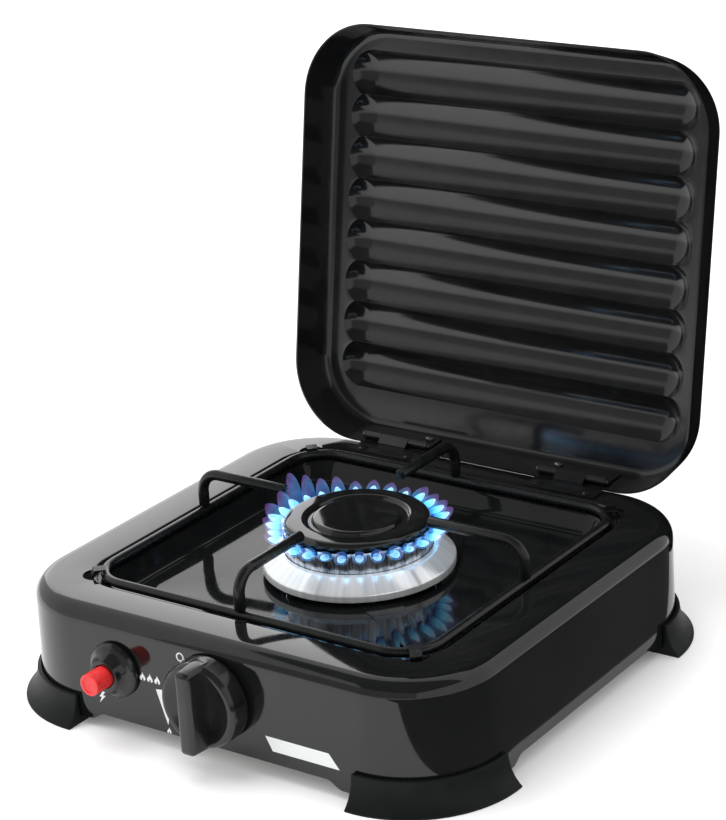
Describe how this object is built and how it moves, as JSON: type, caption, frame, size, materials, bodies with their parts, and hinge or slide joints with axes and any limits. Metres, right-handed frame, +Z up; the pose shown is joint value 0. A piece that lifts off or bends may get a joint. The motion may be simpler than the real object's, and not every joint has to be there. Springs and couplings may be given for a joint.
{
  "type": "camping stove",
  "caption": "Single-burner gas camping stove: pressed enamelled body on plastic feet, ribbed hinged lid, rod pan support, round burner, gas knob and push igniter.",
  "frame": {"origin": "middle of the bounding box at the ground, with the lid open", "axes": "+X to the stove's right, +Y to its hinged back, +Z up"},
  "size_m": [0.289, 0.3326, 0.2959],
  "materials": {
    "enamel": "gloss black vitreous enamel",
    "wire": "satin black enamelled rod",
    "foot_plastic": "matt black moulded plastic",
    "control_plastic": "gloss black moulded plastic",
    "button_plastic": "gloss red moulded plastic",
    "bright_ring": "polished stainless steel",
    "steel": "plain steel",
    "brass": "machined brass",
    "ceramic": "glazed white ceramic",
    "insulation": "soft red-brown insulation"
  },
  "bodies": {
    "base": {"body_shell": "enamel", "burner_cap": "enamel", "support_frame": "wire", "support_prong_front": "wire", "support_prong_rear": "wire", "support_prong_left": "wire", "support_prong_right": "wire", "foot_front_left": "foot_plastic", "foot_front_right": "foot_plastic", "foot_rear_left": "foot_plastic", "foot_rear_right": "foot_plastic", "foot_screw_front_left": "steel", "foot_screw_front_right": "steel", "foot_screw_rear_left": "steel", "foot_screw_rear_right": "steel", "support_clip_front_left": "steel", "support_clip_front_right": "steel", "support_clip_rear_left": "steel", "support_clip_rear_right": "steel", "burner_bowl": "steel", "burner_screw_1": "steel", "burner_screw_2": "steel", "burner_screw_3": "steel", "burner_head": "steel", "mixing_tube": "steel", "valve_nut": "steel", "piezo_nut": "steel", "electrode_rod": "steel", "hinge_pin_left": "steel", "hinge_pin_right": "steel", "body_rivet_left_1": "enamel", "body_rivet_left_2": "enamel", "body_rivet_right_1": "enamel", "body_rivet_right_2": "enamel", "hinge_leaf_body_left": "enamel", "hinge_leaf_body_right": "enamel", "burner_ring": "bright_ring", "valve_body": "brass", "gas_jet": "brass", "gas_pipe": "brass", "inlet_nut": "brass", "hose_tail": "brass", "piezo_body": "control_plastic", "piezo_collar": "control_plastic", "electrode_ceramic": "ceramic", "ignition_wire": "insulation"},
    "lid": {"lid_shell": "enamel", "hinge_leaf_lid_left": "enamel", "hinge_leaf_lid_right": "enamel", "lid_rivet_left_1": "steel", "lid_rivet_left_2": "steel", "lid_rivet_right_1": "steel", "lid_rivet_right_2": "steel"},
    "tap": {"tap_plug": "brass"},
    "knob": {"knob": "control_plastic", "knob_spindle": "brass", "spindle_spring": "steel"},
    "button": {"piezo_button": "button_plastic", "piezo_spring": "steel"}
  },
  "joints": [
    {"name": "lid_hinge", "type": "hinge", "parent": "base", "child": "lid", "pos_m": [0, 0.10708, 0.069], "axis": [1, 0, 0], "range_deg": [0, 99.26]},
    {"name": "knob_turn", "type": "hinge", "parent": "base", "child": "tap", "pos_m": [0.003, -0.145, 0.036], "axis": [0, -1, 0], "range_deg": [0, 130]},
    {"name": "knob_push", "type": "slide", "parent": "tap", "child": "knob", "axis": [0, 1, 0], "range_m": [0, 0.002], "stiffness_N_per_m": 500, "springref_m": -0.003},
    {"name": "piezo_push", "type": "slide", "parent": "base", "child": "button", "axis": [0, 1, 0], "range_m": [0, 0.006], "stiffness_N_per_m": 800, "springref_m": -0.004}
  ]
}
